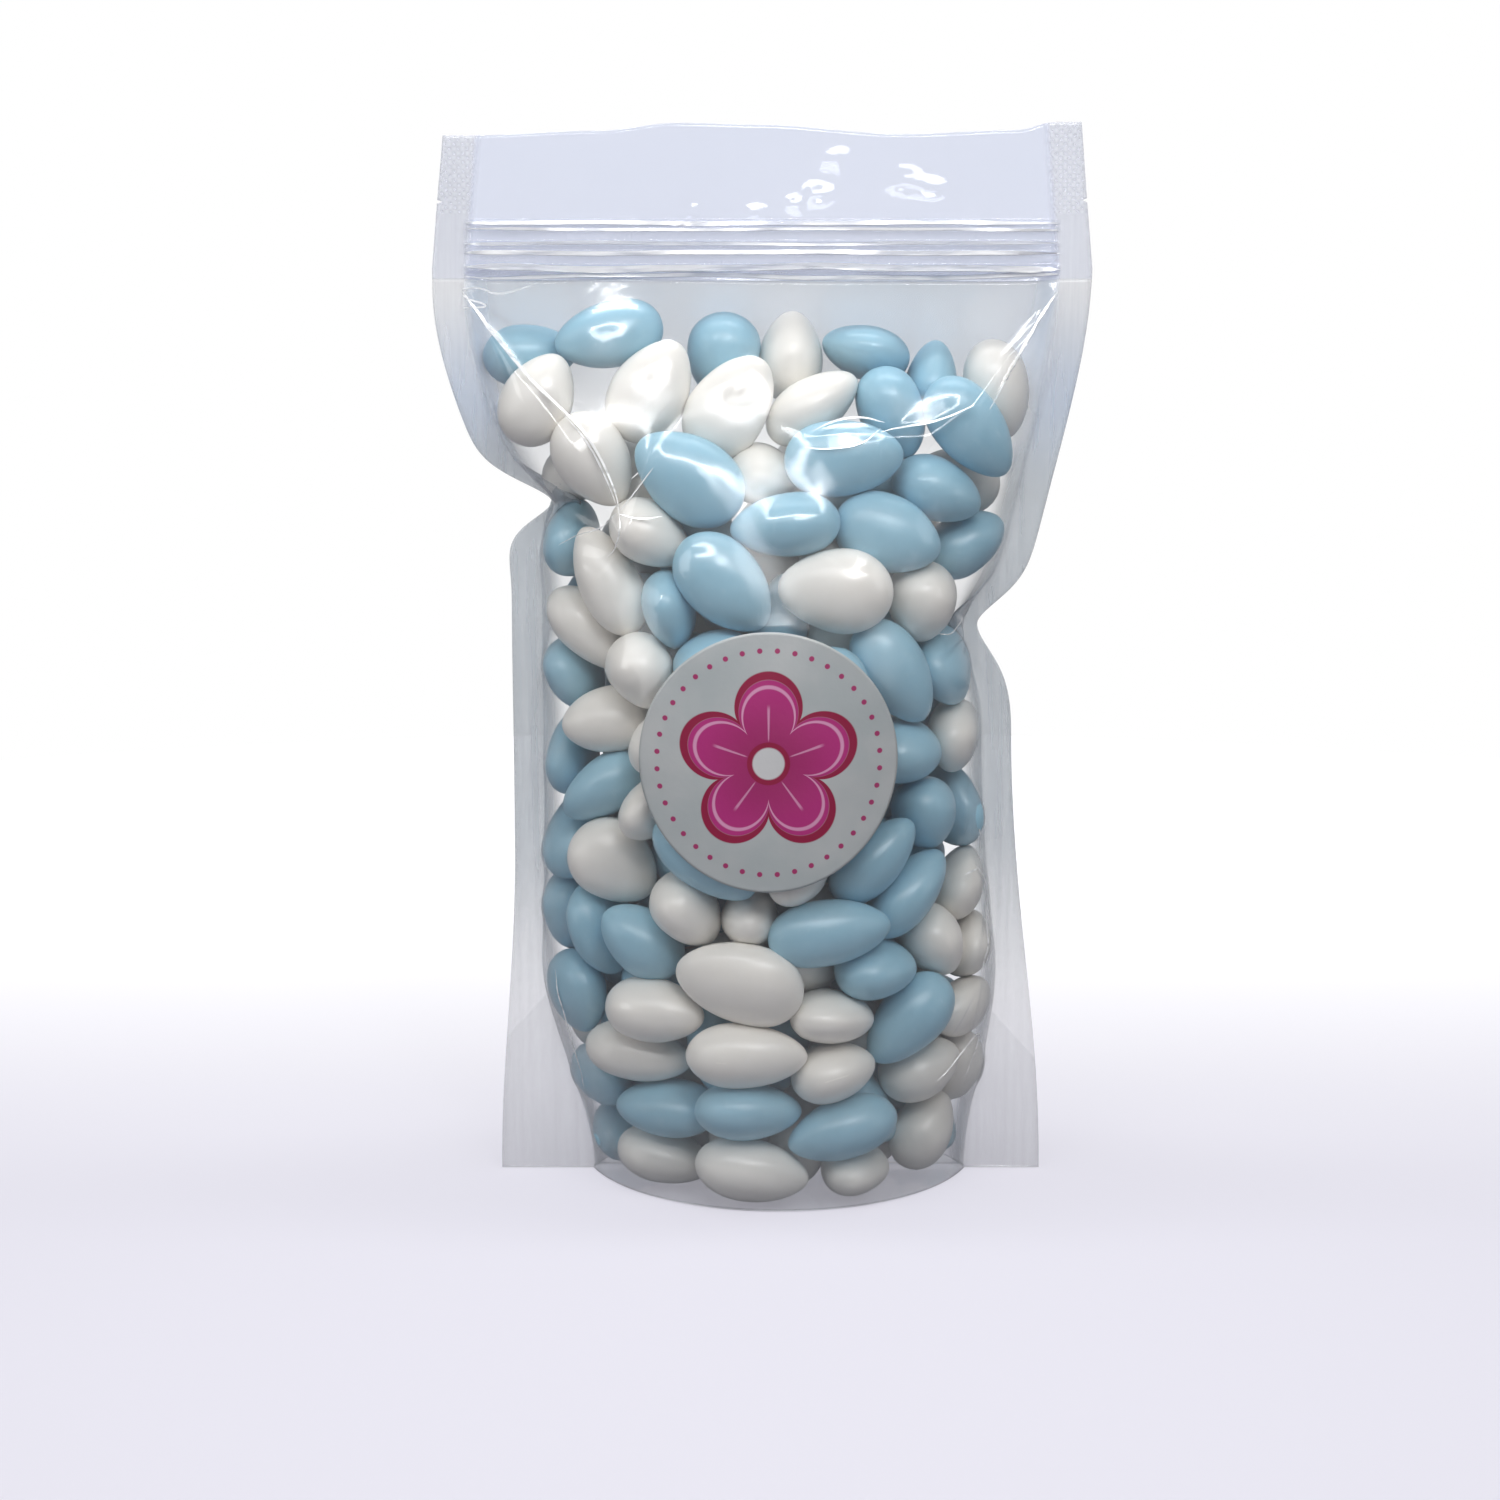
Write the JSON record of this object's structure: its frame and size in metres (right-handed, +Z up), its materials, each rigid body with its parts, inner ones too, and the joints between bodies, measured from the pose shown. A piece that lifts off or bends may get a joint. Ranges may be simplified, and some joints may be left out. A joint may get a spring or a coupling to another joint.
{
  "type": "pouch of sugared almonds",
  "caption": "Clear stand-up zip pouch filled with pale blue and white sugared almonds, standing on its base, with a round sticker on the front.",
  "frame": {"origin": "on the floor, under the middle of the pouch", "axes": "+Z up towards the zip and mouth, -Y out of the front with the sticker, +X to the right seen from the front"},
  "size_m": [0.165, 0.0897, 0.269],
  "materials": {
    "film": "clear glossy film over pale blue and white almonds",
    "sticker": "satin pale grey with a magenta print",
    "zip": "clear glossy",
    "sugar_blue": "satin polished sugar",
    "sugar_white": "satin polished sugar"
  },
  "bodies": {
    "root": {"pouch": "film", "sticker": "sticker"}
  },
  "joints": []
}
